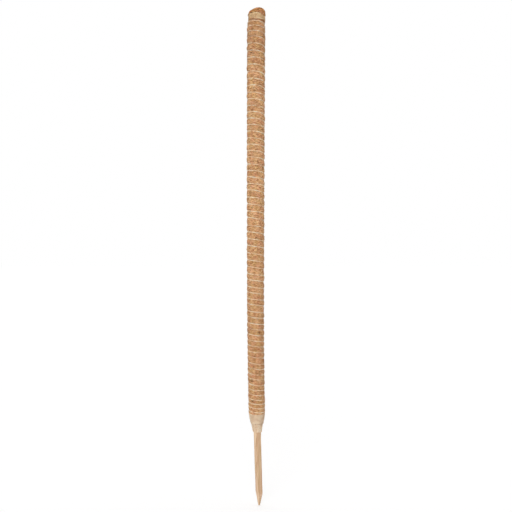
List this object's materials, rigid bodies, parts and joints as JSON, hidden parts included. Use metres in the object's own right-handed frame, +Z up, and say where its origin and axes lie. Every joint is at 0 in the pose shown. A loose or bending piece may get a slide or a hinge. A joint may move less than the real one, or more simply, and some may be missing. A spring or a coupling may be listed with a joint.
{
  "type": "moss pole",
  "caption": "Slim coir-wrapped pole for climbing plants: a pointed wooden stake under coir matting, bound in an open twine helix and lashed at both ends.",
  "frame": {"origin": "centre of the wooden stake at the soil line, which is the lower edge of the collar lashing", "axes": "+Z up along the pole towards the cap, -Z down the stake to its point, -Y the front that the picture shows, +X to the right of that front"},
  "size_m": [0.0472, 0.048, 1.2],
  "materials": {
    "stake_wood": "matte",
    "coir": "matte",
    "cap_coir": "matte",
    "twine": "matte",
    "lashing_twine": "matte"
  },
  "bodies": {
    "root": {"stake": "stake_wood", "coir_wadding": "coir", "coir_mat": "coir", "coir_cap": "cap_coir", "binding_twine": "twine", "top_lashing": "lashing_twine", "cone_lashing": "lashing_twine", "collar_lashing": "lashing_twine", "top_knot": "twine", "bottom_knot": "twine"}
  },
  "joints": []
}
